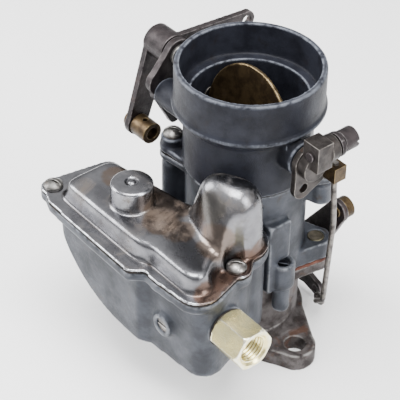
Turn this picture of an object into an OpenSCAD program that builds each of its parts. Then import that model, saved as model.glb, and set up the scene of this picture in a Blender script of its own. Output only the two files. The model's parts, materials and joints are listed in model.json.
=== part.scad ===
/* [Mounting flange] */
// Throttle bore diameter
bore_d = 36.5; // [34:0.1:38]
// Distance between the two stud holes
stud_pitch = 68.26; // [66:0.02:72]
// Stud hole diameter
stud_hole_d = 8.74; // [8:0.02:10]
// Thickness of the flange plate
flange_t = 8; // [6:0.5:10]
// Radius of the round middle of the flange
flange_r = 26; // [25:0.5:28]
// Radius of each flange ear
flange_ear_r = 8.6; // [8:0.1:10]

/* [Barrel] */
// Height of the iron throttle body
iron_h = 34; // [30:0.5:40]
// Outer radius of the iron barrel
iron_r = 23.5; // [22.5:0.1:24.5]
// Thickness of the gaskets between the castings
gasket_t = 1.5; // [0.8:0.1:2]
// Height of the main casting
body_h = 47; // [42:0.5:56]
// Outer radius of the main barrel
barrel_r = 24.5; // [24:0.1:26]
// Radius of the throat at its narrowest
venturi_r = 15; // [13:0.1:16.5]
// Distance of the clamp screws from the throat axis
ear_pitch_r = 29.5; // [29:0.1:32]
// Radius of the clamp screw ears
ear_r = 6.3; // [5.8:0.1:7]
// Angle of the lower clamp screws round the throat
ear_a = 50; // [45:1:55]
// Angle of the upper clamp screws round the throat
horn_ear_a = 38; // [34:1:42]

/* [Air horn] */
// Height of the air horn casting above its gasket
horn_h = 45.3; // [42:0.1:54]
// Outer radius of the collar that takes the air cleaner
collar_r = 29.35; // [28:0.05:32]
// Height of the collar
collar_h = 17.3; // [14:0.1:20]
// Wall of the collar
collar_wall = 2.3; // [1.8:0.1:3]
// How far the bead stands out of the collar
bead_out = 0.85; // [0.4:0.05:1.5]
// Depth of the ledge inside the collar
ledge_depth = 13.8; // [12:0.1:15]
// Radius of the choke bore
choke_bore_r = 23; // [22:0.1:23.5]
// Wall of the neck round the choke bore
neck_wall = 2.6; // [2:0.1:3]

/* [Bowl] */
// Height of the bowl's rim above the flange face
bowl_rim_z = 66.2; // [63:0.1:70]
// Underside of the bowl above the flange face
bowl_bottom_z = 28; // [26:0.5:31]
// Wall of the bowl
bowl_wall = 3; // [2.2:0.1:3.5]
// Reach of the bowl's left end from the throat axis
bowl_left = 45; // [42:0.5:54]
// Distance of the bowl's front wall from the throat axis
bowl_front = 62.5; // [61:0.1:66]
// Distance of the bowl's back wall from the throat axis
bowl_back = 29; // [28:0.1:30]
// Radius of the round column at the inlet
column_r = 8; // [7:0.1:9]

/* [Bowl cover] */
// Thickness of the cover's sheet
sheet_t = 1; // [0.8:0.1:1.5]
// Height of the raised part of the cover above its rim
step_h = 9; // [7:0.1:11]
// How far the cover's rim reaches past the bowl wall
rim_out = 5; // [4:0.1:6]
// Height of the top of the dome above the cover's rim
dome_h = 32; // [30:0.5:33]
// Radius of the round cap on the cover
cap_r = 8.7; // [7:0.1:10]
// Height of the cap
cap_h = 9.5; // [6:0.1:12]

/* [Fuel inlet] */
// Across flats of the brass inlet fitting
hex_af = 16; // [14:0.1:18]
// Length of the hexagon
hex_len = 15.5; // [12:0.5:18]
// Radius of the inlet's threaded hole
inlet_hole_r = 5.6; // [4.5:0.1:6]
// Depth of the inlet's threaded hole
inlet_hole_len = 11; // [8:0.5:12]
// Height of the inlet above the flange face
inlet_z = 51; // [50:0.1:52]

/* [Shafts and levers] */
// Height of the throttle shaft above the flange face
throttle_z = 18; // [17.5:0.1:19]
// Radius of the throttle shaft
throttle_shaft_r = 3.95; // [3.5:0.05:4.2]
// Height of the choke shaft above the air horn's joint face
choke_dz = 18.5; // [17:0.1:20]
// Radius of the choke shaft
choke_shaft_r = 3.1; // [2.8:0.05:3.4]
// Thickness of the valve plates
valve_t = 1.6; // [1.2:0.1:2]
// How far the choke valve stands from level when open
choke_open_a = 79; // [70:1:85]
// How far the closed throttle valve stands from level
throttle_closed_a = 9; // [6:1:14]
// Radial clearance of a shaft in its bearing
run_gap = 0.05; // [0.02:0.01:0.1]
// Length of the throttle arm
throttle_arm_len = 43; // [38:0.5:50]
// Length of the bell crank's upright arm
crank_down_len = 37; // [30:0.5:42]
// Length of the bell crank's level arm
crank_back_len = 38; // [30:0.5:42]
// Thickness of the stamped levers
lever_t = 2.5; // [2:0.1:3]
// Radius of the link rod
link_r = 1.2; // [1:0.1:1.5]

/* [Hidden] */
$fn = 48;
// Share of an arm's round ends that its web is as wide as
web = 0.96;
screw_r = 2.4;

body_z = iron_h + gasket_t;
body_top = body_z + body_h;
horn_z = body_top + gasket_t / 1.5;
horn_top = horn_z + horn_h;
bead_z = horn_top - collar_h;
ledge_z = horn_top - ledge_depth;
neck_r = choke_bore_r + neck_wall;
choke_z = horn_z + choke_dz;
ear_pos = [for (a = [ear_a, ear_a + 180]) ear_pitch_r * [cos(a), sin(a)]];
horn_ears = [for (a = [horn_ear_a, horn_ear_a + 180]) (ear_pitch_r + 0.6) * [cos(a), sin(a)]];

// Cover levels
seal_t = 0.8;
cover_z = bowl_rim_z + seal_t;
plateau_z = cover_z + step_h;
dome_top = cover_z + dome_h;

// Plan centres of the bowl's round features
column_p = [35, -50];
well_p = [22, -24];
well_r = 11.5;
lobe_p = [34.3, -34];
left_screw_p = [-bowl_left - 4.4, 3 - bowl_front];
cover_screws_p = [left_screw_p, lobe_p];
step_y = 3;
cap_p = [-14, -46.5];
// Plan place of the idle passage's plug, and the bowl wall's round plug
passage_p = [27, -3];
plug_p = [22, inlet_z - 6.5];

// Mechanism under the dome
rocker_x = 18;
post_y = -27.6;
rocker_z = cover_z + 12;
connector_p = [10.5, -27.9];
metering_p = [12, -32.9];
jet_r = 2.6;
jet_head_r = 3.8;
pump_p = [25, -33.3];
pump_bore_r = 5.6;
rocker_rest_a = 32;

// Bowl interior
hinge_p = [27, -46, inlet_z - 8];
needle_y = -46;
seat_x = 33.5;
boss_x = column_p.x + column_r;

// Throttle lever and link
lever_y = 30;
stop_y = lever_y - 3.4;
pump_lever_y = -lever_y - 0.1;

// Idle mixture needle
idle_y = -6;
idle_z = throttle_z + 6;
throttle_tip = throttle_arm_len * [cos(59), sin(59)] + [0, throttle_z];
link_foot = [21.5, 22.6, 9];

// Choke lever, its swivel and the clamp block
lever_x = 32;
swivel_p = [10.4, choke_z - 6.5];
link_top = [lever_x + 6.6, swivel_p.x, swivel_p.y];
block_x = lever_x + 3;
clamp_z = choke_z + 7;

// Bell crank
crank_p = [-40, -8, horn_top - 10.3];
bracket_x = -36.2;
bracket_t = 3;
boss_left_p = [-15, choke_z + 2];
crank_arm_x = -48;
crank_tip = [crank_p.y - crank_down_len * sin(18), crank_p.z - crank_down_len * cos(18)];

// Points along an arc in the plane
function arc(c, r, a0, a1, n = 8) =
    [for (i = [0:n]) let (a = a0 + (a1 - a0) * i / n) c + r * [cos(a), sin(a)]];

// A slab with round ends of different radii, from one point to another
module arm(p0, r0, p1, r1, t) {
    d = norm(p1 - p0);
    a = acos((r0 - r1) / d);
    near = web * r0 * [cos(a), sin(a)];
    far = web * r1 * [cos(a), sin(a)] + [d, 0];
    ends = [near, [near.x, -near.y], [far.x, -far.y], far];
    translate([p0.x, p0.y, 0]) rotate([0, 0, atan2(p1.y - p0.y, p1.x - p0.x)]) {
        cylinder(r = r0, h = t);
        translate([d, 0, 0]) cylinder(r = r1, h = t);
        linear_extrude(t) polygon(ends);
    }
}

// A slab round three centres, each with its own radius
module trio(p, r, t) {
    for (i = [0:2]) translate([p[i].x, p[i].y, 0]) cylinder(r = r[i], h = t);
    linear_extrude(t) polygon([for (i = [0:2], k = [i, (i + 1) % 3])
        let (d = p[(i + 1) % 3] - p[i]) p[k] + web * r[k] * [d.y, -d.x] / norm(d)]);
}

// Puts a drawing of Y and Z at x, with its thickness along +X
module plane_x(x) {
    translate([x, 0, 0]) rotate([90, 0, 90]) children();
}

// Puts a drawing of X and Z with its +Y face at y
module plane_y(y) {
    translate([0, y, 0]) rotate([90, 0, 0]) children();
}

// A cylinder along X from x0 to x1
module rod_x(x0, x1, y, z, r) {
    translate([x0, y, z]) rotate([0, 90, 0]) cylinder(r = r, h = x1 - x0);
}

// A cylinder along Y from y0 to y1
module rod_y(x, y0, y1, z, r) {
    translate([x, y0, z]) rotate([-90, 0, 0]) cylinder(r = r, h = y1 - y0);
}

// A cylinder along Z from z0 to z1
module rod_z(p, z0, z1, r) {
    translate([p.x, p.y, z0]) cylinder(r = r, h = z1 - z0);
}

// A round bar between two points
module bar(p, q, r) {
    d = q - p;
    translate(p) rotate([0, acos(d.z / norm(d)), atan2(d.y, d.x)]) cylinder(r = r, h = norm(d));
}

// A slotted round-head screw, head up, its seat at z = 0
module round_screw(r, head_r, head_h, len, slot = 0.9) {
    translate([0, 0, -len]) cylinder(r = r, h = len + head_h * 0.2);
    difference() {
        intersection() {
            cylinder(r = head_r, h = head_h);
            translate([0, 0, head_h - head_r * 1.3]) sphere(r = head_r * 1.3);
        }
        translate([-head_r - 1, -slot / 2, head_h * 0.5]) cube([2 * head_r + 2, slot, head_h]);
    }
}

// Outline of the bowl wall, set in by a distance
function bowl_plan(s) = concat(
    arc([7 - bowl_left, -bowl_back - 7], 7 - s, 90, 180),
    arc([7 - bowl_left, 7 - bowl_front], 7 - s, 180, 270),
    [[9, s - bowl_front], [14, s - bowl_front + step_y]],
    arc(column_p, column_r - s, 280, 375),
    arc(lobe_p, 4.5 - s, -20, 40, 4),
    arc(well_p, well_r - s, -10, 110),
    [[4, -21], [-6, -bowl_back - s]]);

// Outline of the cover's rim
function rim_plan() = concat(
    arc([5 - bowl_left - rim_out, -bowl_back - 6.5], 5, 90, 180),
    arc(left_screw_p, 5.2, 150, 285),
    [[-bowl_left + 3, -bowl_front - rim_out + 0.6]],
    arc([8, -bowl_front - rim_out + 3.5], 3.5, 270, 330, 5),
    [[14, -bowl_front + 0.2], [20, -bowl_front - 0.3 ]],
    arc([34, -52.3], 9.2, 270, 385),
    arc(lobe_p, 6, -35, 30, 5),
    arc(well_p, 13, -8, 95),
    [[8, -20], [-4, -bowl_back - 1.5]]);

// The bowl's side profile: a quarter ellipse at the left, level under the right
function bowl_profile(s) = concat(
    [for (i = [0:12]) let (a = 90 * i / 12)
        [-(bowl_left - s) * cos(a), bowl_rim_z - (bowl_rim_z - bowl_bottom_z - s) * sin(a)]],
    [[60, bowl_bottom_z + s], [60, bowl_rim_z + 20], [-(bowl_left - s), bowl_rim_z + 20]]);

// A prism of the bowl between two heights, cut by its side profile
module bowl_prism(s, top) {
    intersection() {
        translate([0, 0, 20]) linear_extrude(top - 20) polygon(bowl_plan(s));
        plane_y(0) linear_extrude(90) polygon(bowl_profile(s));
    }
}

// Where the air passes through the main casting
module throat() {
    bore_r = bore_d / 2;
    z_neck = body_z + body_h * 0.5;
    top_r = choke_bore_r - 1;
    down = [for (i = [0:8]) let (t = i / 8)
        [venturi_r + (bore_r - venturi_r) * (1 - cos(90 * t)), z_neck - (z_neck - body_z) * t]];
    up = [for (i = [8:-1:1]) let (t = i / 8)
        [venturi_r + (top_r - venturi_r) * (1 - cos(90 * t)), z_neck + (body_top - 8 - z_neck) * t]];
    rotate_extrude() polygon(concat(
        [[0, body_z - 1], [bore_r, body_z - 1]],
        [for (i = [8:-1:0]) down[i]],
        [for (i = [7:-1:0]) up[i]],
        [[choke_bore_r, body_top - 5], [choke_bore_r, body_top + 1], [0, body_top + 1]]));
}

module throttle_body() {
    color([0.30, 0.25, 0.23])
    difference() {
        union() {
            for (s = [0, 180]) rotate([0, 0, s])
                arm([0, 0], flange_r, [stud_pitch / 2, 0], flange_ear_r, flange_t);
            cylinder(r = iron_r, h = iron_h);
            for (p = ear_pos) translate([0, 0, iron_h - 5]) arm([0, 0], iron_r - 2, p, ear_r - 0.5, 5);
            rod_y(0, -lever_y + 0.6, lever_y - 0.6, throttle_z, throttle_shaft_r + 3);
            rod_x(-31, 0, idle_y, idle_z, 4.2);
            translate([0, 0, 3]) rod_z([0, -3], 0, flange_t + 1, flange_r - 1);
        }
        translate([0, 0, -1]) cylinder(r = bore_d / 2, h = iron_h + 2);
        // Relief that the stop screw swings through
        translate([-16, stop_y - 3.2, -1]) cube([23, 12, flange_t + 3]);
        for (s = [-1, 1]) rod_z([s * stud_pitch / 2, 0], -1, flange_t + 1, stud_hole_d / 2);
        for (s = [-1, 1]) rod_z([s * stud_pitch / 2, 0], flange_t - 0.6, flange_t + 9, flange_ear_r - 1.4);
        for (p = ear_pos) rod_z(p, iron_h - 6, iron_h + 1, screw_r);
        rod_y(0, -40, 40, throttle_z, throttle_shaft_r + run_gap);
        rod_x(-40, -17, idle_y, idle_z, 1.55);
    }
}

module body_gasket() {
    color([0.62, 0.30, 0.20])
    translate([0, 0, iron_h]) difference() {
        union() {
            cylinder(r = iron_r + 0.4, h = gasket_t);
            for (p = ear_pos) arm([0, 0], iron_r - 2, p, ear_r - 0.1, gasket_t);
        }
        translate([0, 0, -1]) cylinder(r = bore_d / 2, h = gasket_t + 2);
        for (p = ear_pos) rod_z(p, -1, gasket_t + 1, screw_r + 0.3);
    }
}

module body_casting() {
    color([0.45, 0.48, 0.51])
    difference() {
        union() {
            rod_z([0, 0], body_z, body_top, barrel_r);
            for (p = ear_pos) translate([0, 0, body_z]) arm([0, 0], barrel_r - 3, p, ear_r, 8.5);
            // Upper ears: a short boss under the right one, a long column under the left one
            for (i = [0, 1]) {
                p = horn_ears[i];
                h = [14, 33][i];
                translate([0, 0, body_top - 3]) arm([0, 0], barrel_r - 3, p, 5.4, 3);
                rod_z(p, body_top - h, body_top - 5, 4.6);
                rod_z(p, body_top - 6, body_top - 2, 3.6);
                translate([0, 0, body_top - h + 1]) arm([0, 0], 5, p * 0.86, 4, h - 3.5);
            }
            bowl_prism(0, bowl_rim_z);
            translate([0, 0, bowl_rim_z - 4]) linear_extrude(4) polygon(rim_plan());
            translate([-11, -bowl_back - 1, body_z]) cube([22, 10, bowl_rim_z - body_z - 2]);
            rod_x(column_p.x, boss_x, needle_y, inlet_z, 8.6);
            // Idle passage: a rib on the barrel, a plug boss and a column below it
            translate([18, -10.7, body_z]) cube([9.5, 10.7, 34]);
            rod_z(passage_p, body_z + 2, body_z + 14, 5.2);
            rod_z(passage_p, body_z - 11, body_z + 3, 3.6);
            // Round boss of the plug on the bowl's front wall
            rod_y(plug_p.x, step_y - bowl_front - 1.6, step_y - bowl_front + 5, plug_p.y, 5);
        }
        throat();
        rod_z([0, 0], flange_t, body_z, iron_r + 0.7);
        difference() {
            bowl_prism(bowl_wall, bowl_rim_z + 1);
            // Solid left standing round the pump, the linkage well and the inlet column
            rod_z(pump_p, 20, bowl_rim_z - 5, pump_bore_r + 2.4);
            translate([13, needle_y + 3.4, 20]) cube([40, 39, bowl_rim_z - 27]);
            translate([hinge_p.x - 2, -60, 20]) cube([20, 7, bowl_rim_z - 30]);
            translate([seat_x, -60, 20]) cube([20, 40, bowl_rim_z - 27]);
            rod_z(metering_p, 20, bowl_bottom_z + 8, 4.4);
            for (p = cover_screws_p) rod_z(p, 20, bowl_rim_z, 4.2);
            for (y = [needle_y - 5.4, needle_y + 3.4])
                translate([hinge_p.x - 3, y, 20]) cube([6, 2, hinge_p.z - 16]);
            translate([rocker_x - 3.5, post_y - 0.3, 20]) cube([7, 5, bowl_rim_z - 20]);
        }
        for (p = ear_pos) rod_z(p, body_z - 1, body_z + 10, screw_r + 0.15);
        for (p = ear_pos) rod_z(p, body_z + 6, body_z + 10, 3.55);
        for (p = horn_ears) rod_z(p, body_top - 12.5, body_top + 1, screw_r - 0.1);
        for (p = cover_screws_p) rod_z(p, bowl_rim_z - 12, bowl_rim_z + 1, 1.9);
        rod_z(pump_p, bowl_bottom_z + 4, bowl_rim_z + 1, pump_bore_r);
        rod_z(connector_p, 10, bowl_rim_z + 1, 2.4);
        rod_z(metering_p, bowl_bottom_z + 3, bowl_bottom_z + 9, jet_r);
        rod_z(metering_p, bowl_bottom_z + 8, bowl_rim_z + 1, jet_head_r + 0.3);
        // Room under the bowl for the pump lever's end at full throttle
        translate([connector_p.x - 8, pump_lever_y - 2.5, bowl_bottom_z - 1]) cube([12, 3, 2.8]);
        rod_x(seat_x - 2.5, boss_x + 1, needle_y, inlet_z, 5.05);
        rod_z(passage_p, body_z + 7, body_z + 15, 3.1);
        rod_z(passage_p, body_z - 12, body_z + 8, 1.2);
        rod_y(plug_p.x, step_y - bowl_front - 3, step_y - bowl_front + 2.4, plug_p.y, 3);
        rod_y(hinge_p.x, needle_y - 7, needle_y + 7, hinge_p.z, 1.05);
        main_passage();
    }
    color([0.45, 0.48, 0.51]) rocker_post();
}

// The post that carries the rocker's pin
module rocker_post() {
    difference() {
        translate([rocker_x - 3, post_y, bowl_rim_z - 8]) cube([6, 2.2, rocker_z - bowl_rim_z + 11]);
        rod_y(rocker_x, post_y - 1, post_y + 4, rocker_z, 1.5);
    }
}

// The slanted bore that the main nozzle lies in
module main_passage() {
    bar([0, -40, bowl_bottom_z + 7], [0, -9, body_z + body_h * 0.56], 2.05);
}

module horn_gasket() {
    color([0.30, 0.27, 0.24])
    translate([0, 0, body_top]) difference() {
        union() {
            cylinder(r = barrel_r + 0.2, h = horn_z - body_top);
            for (p = horn_ears) arm([0, 0], barrel_r - 3, p, 5.2, horn_z - body_top);
        }
        translate([0, 0, -1]) cylinder(r = choke_bore_r, h = 4);
        for (p = horn_ears) rod_z(p, -1, 4, screw_r + 0.2);
    }
}

module air_horn() {
    in_r = collar_r - collar_wall;
    color([0.27, 0.29, 0.34])
    difference() {
        union() {
            rotate_extrude() polygon([[0, horn_z], [neck_r, horn_z], [neck_r, bead_z - 5.5],
                [collar_r - 0.6, bead_z - 1.6], [collar_r + bead_out, bead_z - 0.6],
                [collar_r + bead_out, bead_z + 0.8], [collar_r, bead_z + 1.5],
                [collar_r, horn_top - 0.5], [collar_r - 0.5, horn_top], [0, horn_top]]);
            for (p = horn_ears) {
                translate([0, 0, horn_z]) arm([0, 0], neck_r - 2, p, 5.4, 2.6);
                rod_z(p, horn_z, horn_z + 6.5, 4.9);
                translate([0, 0, horn_z]) rotate([0, 0, atan2(p.y, p.x)])
                    translate([choke_bore_r - 2, -3.2, 0]) cube([ear_pitch_r - choke_bore_r, 6.4, 6.1]);
            }
            rod_x(10, 31.5, 0, choke_z, 7.2);
            rod_x(-29, -10, 0, choke_z, 6);
            translate([10, -6.2, choke_z]) cube([18.6, 12.4, bead_z - choke_z - 0.4]);
            rod_x(bracket_x + bracket_t, -12, boss_left_p.x, boss_left_p.y, 6);
        }
        rod_z([0, 0], horn_z - 1, ledge_z + 1, choke_bore_r);
        rod_z([0, 0], ledge_z, horn_top + 1, in_r);
        rod_x(-27, 50, 0, choke_z, choke_shaft_r + run_gap);
        for (p = horn_ears) rod_z(p, horn_z - 1, horn_z + 8, screw_r + 0.2);
        rod_x(bracket_x, -26, boss_left_p.x, boss_left_p.y, 1.9);
    }
}

module body_screws() {
    color([0.66, 0.65, 0.52])
    for (p = ear_pos) translate([p.x, p.y, body_z + 6]) {
        cylinder(r = 3.5, h = 2.5);
        translate([0, 0, -6 - gasket_t - 7]) cylinder(r = screw_r, h = 15);
    }
}

module horn_screws() {
    color([0.45, 0.43, 0.40])
    for (p = horn_ears) translate([p.x, p.y, horn_z + 6.5]) rotate([0, 0, 30])
        round_screw(screw_r - 0.1, 4, 3, 18.5);
}

// The cover's raised forms, grown or set in by a distance: 0 outside, sheet_t inside
module plateau(s, z0) {
    right = 33;
    pts = concat(
        arc([5.5 - bowl_left + 1, -bowl_back - 10.5], 5 - s, 90, 180),
        arc([5.5 - bowl_left + 1, 6.5 - bowl_front], 5 - s, 180, 270),
        [[5, 1.5 - bowl_front + s], [12, 1.5 - bowl_front + step_y + s]],
        arc([right, -51.5], 6 - s, 280, 370),
        [[34.4 - s, -44], [28, -34], [2, -bowl_back - 5.5 - s]]);
    translate([0, 0, z0]) linear_extrude(plateau_z - s - z0) polygon(pts);
}

module dome(s, z0) {
    top = dome_top - s;
    hull() {
        translate([22.5, -24.8, z0]) cylinder(r = 10.8 - s, h = 14, $fn = 32);
        translate([9.5, -29, z0]) cylinder(r = 6.5 - s, h = 8, $fn = 32);
        translate([23, -35.5, z0]) cylinder(r = 6.6 - s, h = 6, $fn = 32);
        translate([23, -24.8, top - 10.8 + s]) sphere(r = 9.8 - s, $fn = 32);
        translate([15.5, -28, top - 8.1 + s]) sphere(r = 7.6 - s, $fn = 32);
    }
}

module bowl_cover() {
    color([0.72, 0.71, 0.69])
    difference() {
        union() {
            translate([0, 0, cover_z]) linear_extrude(sheet_t) polygon(rim_plan());
            plateau(0, cover_z);
            dome(0, cover_z);
        }
        plateau(sheet_t, cover_z - 1);
        dome(sheet_t, cover_z - 1);
        rod_z([0, 0], cover_z - 1, plateau_z + 40, neck_r + 0.5);
        for (p = cover_screws_p) rod_z(p, cover_z - 1, cover_z + 30, 2.2);
        for (p = cover_screws_p) rod_z(p, cover_z + sheet_t, cover_z + 9, 4.4);
        rod_z(cap_p, plateau_z - 4, plateau_z + 2, cap_r - 1.5);
    }
    color([0.72, 0.71, 0.69])
    difference() {
        intersection() {
            dome(0, cover_z);
            rod_z([0, 0], cover_z, dome_top, neck_r + 0.5 + sheet_t);
        }
        rod_z([0, 0], cover_z - 1, dome_top + 1, neck_r + 0.5);
    }
}

module cover_gasket() {
    color([0.28, 0.22, 0.16])
    translate([0, 0, bowl_rim_z]) difference() {
        linear_extrude(seal_t) polygon(rim_plan());
        translate([0, 0, -1]) linear_extrude(seal_t + 2) polygon(bowl_plan(bowl_wall));
        for (p = cover_screws_p) rod_z(p, -1, 3, 2.2);
        rod_z([0, 0], -1, 3, barrel_r + 0.2);
        rod_z(connector_p, -1, 3, 3);
    }
}

module cover_screws() {
    color([0.60, 0.58, 0.55])
    for (i = [0, 1]) translate([cover_screws_p[i].x, cover_screws_p[i].y, cover_z + sheet_t])
        rotate([0, 0, 20 + 25 * i]) round_screw(1.85, 4, 2.8, 9);
}

module cover_cap() {
    color([0.72, 0.72, 0.71])
    translate([cap_p.x, cap_p.y, plateau_z]) {
        difference() {
            cylinder(r = cap_r, h = cap_h);
            translate([0, 0, -1]) cylinder(r = cap_r - 1, h = cap_h);
        }
        translate([0, 0, cap_h - 2]) cylinder(r = 1.4, h = 2.4);
        for (a = [0, 120, 240]) rotate([0, 0, a])
            translate([cap_r - 2.6, -1.5, -2.2]) cube([0.9, 3, 4]);
    }
}

module booster_venturi() {
    color([0.55, 0.57, 0.58])
    translate([0, 0, body_z + body_h * 0.5]) {
        rotate_extrude() polygon([[6.2, 0], [7.6, 0], [8.6, 8], [8.2, 14], [7.2, 14], [5.6, 7]]);
        rotate([0, 0, -90]) translate([7.4, -1.2, 5]) cube([8.4, 2.4, 5]);
    }
}

module main_nozzle() {
    color([0.72, 0.58, 0.32])
    difference() {
        bar([0, -38, bowl_bottom_z + 9.1], [0, -9.4, body_z + body_h * 0.55], 1.9);
        bar([0, -45, bowl_bottom_z + 2.8], [0, -5, body_z + body_h * 0.592], 1);
    }
}

module metering_jet() {
    color([0.72, 0.58, 0.32])
    translate([metering_p.x, metering_p.y, bowl_bottom_z + 3]) difference() {
        union() {
            cylinder(r = jet_r, h = 6);
            translate([0, 0, 5]) cylinder(r = jet_head_r, h = 2);
        }
        translate([0, 0, -1]) cylinder(r = 1.3, h = 9);
    }
}

module idle_tube() {
    color([0.72, 0.58, 0.32])
    translate([-20, -bowl_back - bowl_wall - 3, bowl_bottom_z + 14]) difference() {
        union() {
            cylinder(r = 1.4, h = bowl_rim_z - bowl_bottom_z - 16);
            translate([0, 0, bowl_rim_z - bowl_bottom_z - 20]) cylinder(r = 2.3, h = 4);
        }
        translate([0, 0, -1]) cylinder(r = 0.6, h = 60);
    }
}

module bowl_plug() {
    color([0.35, 0.34, 0.33])
    translate([plug_p.x, step_y - bowl_front - 0.6, plug_p.y]) rotate([90, 0, 0]) difference() {
        translate([0, 0, -3]) cylinder(r = 3, h = 3);
        translate([-4, -0.45, -1.2]) cube([8, 0.9, 3]);
    }
}

module passage_plug() {
    color([0.30, 0.31, 0.34])
    translate([passage_p.x, passage_p.y, body_z + 7]) difference() {
        cylinder(r = 3.1, h = 5);
        rotate([0, 0, 35]) translate([-4, -0.8, 3]) cube([8, 1.6, 4]);
    }
}

module inlet_fitting() {
    x0 = boss_x + 1;
    color([0.86, 0.80, 0.55])
    difference() {
        union() {
            intersection() {
                translate([x0, needle_y, inlet_z]) rotate([0, 90, 0])
                    cylinder(r = hex_af / sqrt(3), h = hex_len, $fn = 6);
                translate([x0, needle_y, inlet_z]) rotate([0, 90, 0]) union() {
                    cylinder(r1 = hex_af * 0.53, r2 = hex_af * 0.6, h = 1.2);
                    translate([0, 0, 1.2]) cylinder(r = hex_af * 0.6, h = hex_len - 2.4);
                    translate([0, 0, hex_len - 1.2])
                        cylinder(r1 = hex_af * 0.6, r2 = hex_af * 0.52, h = 1.2);
                }
            }
            rod_x(x0 - 8, x0 + 1, needle_y, inlet_z, 5);
        }
        rod_x(x0 + hex_len - inlet_hole_len, x0 + hex_len + 1, needle_y, inlet_z, inlet_hole_r);
        rod_x(x0 - 9, x0 + hex_len, needle_y, inlet_z, 2.6);
    }
}

module inlet_gasket() {
    color([0.20, 0.20, 0.21])
    difference() {
        rod_x(boss_x, boss_x + 1, needle_y, inlet_z, 8.3);
        rod_x(boss_x - 1, boss_x + 2, needle_y, inlet_z, 5.1);
    }
}

module needle_seat() {
    color([0.78, 0.64, 0.36])
    difference() {
        rod_x(seat_x - 1.5, boss_x - 7.2, needle_y, inlet_z, 4.9);
        rod_x(seat_x - 3, boss_x, needle_y, inlet_z, 1.2);
        rod_x(seat_x - 3, seat_x + 1, needle_y, inlet_z, 2.6);
    }
}

module inlet_needle() {
    color([0.62, 0.62, 0.62])
    translate([seat_x - 4, needle_y, inlet_z]) rotate([0, 90, 0]) {
        cylinder(r = 2.1, h = 3.6);
        translate([0, 0, 3.6]) cylinder(r1 = 1.9, r2 = 0.6, h = 1.4);
    }
}

module float() {
    color([0.76, 0.62, 0.34])
    intersection() {
        translate([7 - bowl_left + 3, -bowl_front + bowl_wall + 3, 20]) linear_extrude(40)
            polygon(concat(arc([3, bowl_front - bowl_back - 17.8], 3, 90, 180, 4),
                arc([3, 3], 3, 180, 270, 4), arc([29, 3], 3, 270, 360, 4),
                arc([29, bowl_front - bowl_back - 17.8], 3, 0, 90, 4)));
        plane_y(0) linear_extrude(80) polygon(concat(
            [for (i = [0:10]) let (a = 90 * i / 10)
                [-(bowl_left - bowl_wall - 5) * cos(a), bowl_rim_z - 8 - 20 * sin(a)]],
            [[30, bowl_rim_z - 28], [30, bowl_rim_z - 8]]));
    }
}

module float_lever() {
    x0 = 45 - bowl_left;
    color([0.72, 0.58, 0.30])
    difference() {
        union() {
            plane_y(needle_y + 3) arm([x0, hinge_p.z + 8], 2.4, [hinge_p.x, hinge_p.z], 2.6, 6);
            translate([x0 - 3, needle_y - 2.4, hinge_p.z + 6.4]) cube([3.4, 4.8, 3]);
            translate([hinge_p.x - 1, needle_y - 2.5, hinge_p.z + 1.6]) cube([2.2, 5, 9.4]);
        }
        rod_y(hinge_p.x, -60, -30, hinge_p.z, 1 + run_gap);
    }
}

module float_pin() {
    color([0.60, 0.60, 0.60]) rod_y(hinge_p.x, needle_y - 5.3, needle_y + 5.3, hinge_p.z, 1);
}

module pump_plunger() {
    z0 = bowl_bottom_z + 17;
    top = rocker_z + (pump_p.x - rocker_x) * sin(rocker_rest_a) + 1;
    color([0.50, 0.45, 0.38]) {
        rod_z(pump_p, z0, z0 + 6, pump_bore_r - 0.06);
        rod_z(pump_p, z0 + 5, top, 1.4);
        rod_z(pump_p, z0 + 6, z0 + 8, 3.6);
    }
}

module pump_rocker() {
    left = rocker_x - connector_p.x;
    right = pump_p.x - rocker_x;
    color([0.42, 0.40, 0.38])
    difference() {
        union() {
            plane_y(-29.6) {
                arm([rocker_x, rocker_z], 3.2,
                    [rocker_x - left * cos(rocker_rest_a), rocker_z - left * sin(rocker_rest_a)], 1.8, 2);
                arm([rocker_x, rocker_z], 3,
                    [rocker_x + right * cos(rocker_rest_a), rocker_z + right * sin(rocker_rest_a)], 1.8, 2);
            }
            rod_y(rocker_x, -32.4, post_y - 0.3, rocker_z, 2.6);
        }
        rod_y(rocker_x, -40, -20, rocker_z, 1.5 + run_gap);
    }
}

module rocker_pin() {
    color([0.60, 0.60, 0.60]) rod_y(rocker_x, -33, post_y + 2.2, rocker_z, 1.5);
}

module connector_rod() {
    top = rocker_z - (rocker_x - connector_p.x) * sin(rocker_rest_a) + 2;
    color([0.50, 0.49, 0.48]) rod_z(connector_p, throttle_z - 4, top, 1.2);
}

module metering_rod() {
    top = rocker_z - (rocker_x - metering_p.x) * sin(rocker_rest_a) + 2;
    color([0.76, 0.62, 0.34]) {
        rod_z(metering_p, bowl_bottom_z + 6, bowl_bottom_z + 20, 0.9);
        rod_z(metering_p, bowl_bottom_z + 19, top, 0.9);
    }
}

module discharge_ball() {
    color([0.75, 0.75, 0.76])
    translate([pump_p.x, pump_p.y, bowl_bottom_z + 6.2]) sphere(r = 2.2);
}

module idle_needle() {
    color([0.60, 0.56, 0.45])
    difference() {
        union() {
            rod_x(-40, -22, idle_y, idle_z, 1.5);
            rod_x(-41.5, -37.5, idle_y, idle_z, 3.6);
        }
        translate([-43.4, idle_y - 6, idle_z - 0.5]) cube([3, 12, 1]);
    }
}

module idle_spring() {
    color([0.65, 0.65, 0.66])
    difference() {
        rod_x(-37.5, -31, idle_y, idle_z, 2.8);
        rod_x(-39, -30, idle_y, idle_z, 1.9);
    }
}

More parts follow.
